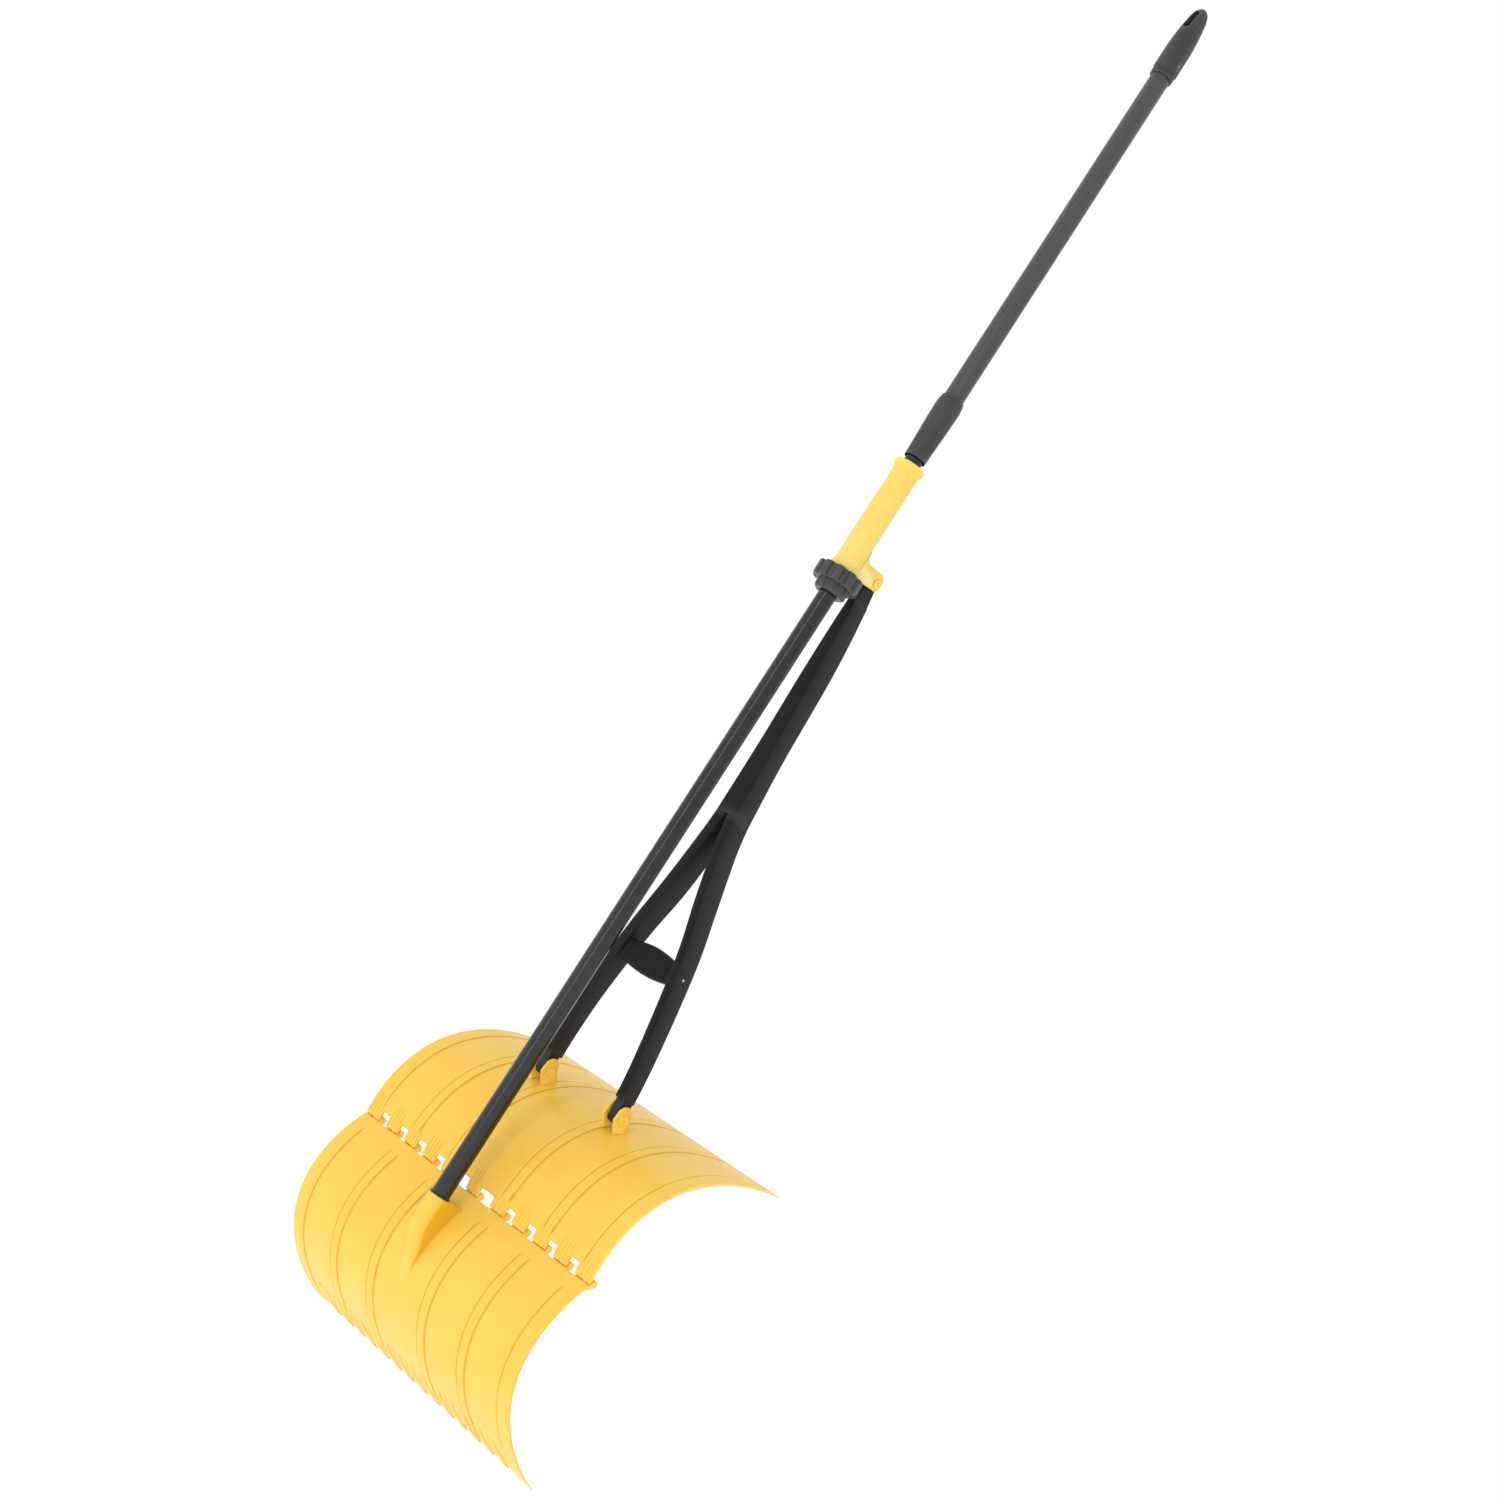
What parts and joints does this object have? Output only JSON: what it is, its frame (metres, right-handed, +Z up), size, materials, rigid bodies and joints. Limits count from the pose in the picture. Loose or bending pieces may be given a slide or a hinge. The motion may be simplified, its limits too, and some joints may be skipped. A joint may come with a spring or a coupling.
{
  "type": "roof snow rake",
  "caption": "Long-handled rake with a curved toothed jaw, a hinged second jaw worked through a forked yoke by a sliding hand grip, and a telescopic pole.",
  "frame": {"origin": "centre of the hanging hole through the end cap, on the axis of the pole", "axes": "+Z up along the pole from the jaws to the end cap, +X along the hinge of the jaws, +Y the side of the pole on which the yoke and the opening rear jaw lie"},
  "size_m": [0.42, 0.2716, 1.855],
  "materials": {
    "yellow_plastic": "smooth moulded",
    "black_steel": "gloss",
    "grey_steel": "satin",
    "black_plastic": "lightly textured",
    "grey_plastic": "matte",
    "pin_steel": "zinc plated"
  },
  "bodies": {
    "upper_pole": {"upper_tube": "grey_steel", "collet": "grey_plastic", "end_cap": "grey_plastic", "cap_pin": "pin_steel"},
    "sleeve": {"lock_sleeve": "grey_plastic"},
    "lower_pole": {"front_scoop": "yellow_plastic", "hinge_pins": "pin_steel", "lower_tube": "black_steel", "tube_plug": "black_plastic", "guide_bush": "grey_plastic", "socket_screw": "pin_steel"},
    "rear_jaw": {"rear_scoop": "yellow_plastic", "leg_pins": "yellow_plastic", "leg_pin_clips": "yellow_plastic"},
    "yoke_body": {"yoke": "black_plastic", "cross_brace": "black_plastic", "brace_screws": "pin_steel"},
    "grip": {"slide_grip": "yellow_plastic", "clamp_ring": "grey_plastic", "grip_pin": "yellow_plastic", "grip_pin_clips": "yellow_plastic"},
    "collar": {"lock_collar": "black_plastic"}
  },
  "joints": [
    {"name": "pole_slide", "type": "slide", "parent": "upper_pole", "child": "lower_pole", "axis": [0, 0, -1], "range_m": [0, 0.35]},
    {"name": "sleeve_turn", "type": "hinge", "parent": "upper_pole", "child": "sleeve", "pos_m": [0, 0, -0.6], "axis": [0, 0, 1], "range_deg": [0, 90]},
    {"name": "jaw_fold", "type": "hinge", "parent": "lower_pole", "child": "rear_jaw", "pos_m": [0, 0.0475, -1.618], "axis": [-1, 0, 0], "range_deg": [0, 109]},
    {"name": "yoke_swing", "type": "hinge", "parent": "rear_jaw", "child": "yoke_body", "pos_m": [0, 0.1005, -1.466], "axis": [1, 0, 0], "range_deg": [0, 115.35]},
    {"name": "grip_slide", "type": "slide", "parent": "lower_pole", "child": "grip", "axis": [0, 0, -1], "range_m": [0, 0.2615]},
    {"name": "collar_turn", "type": "hinge", "parent": "grip", "child": "collar", "pos_m": [0, 0, -0.84], "axis": [0, 0, 1], "range_deg": [0, 90]}
  ],
  "couplings": [
    {"joint": "yoke_swing", "follows": "jaw_fold", "ratio": 1.0578},
    {"joint": "grip_slide", "follows": "jaw_fold", "m_per_rad": 0.13733}
  ]
}
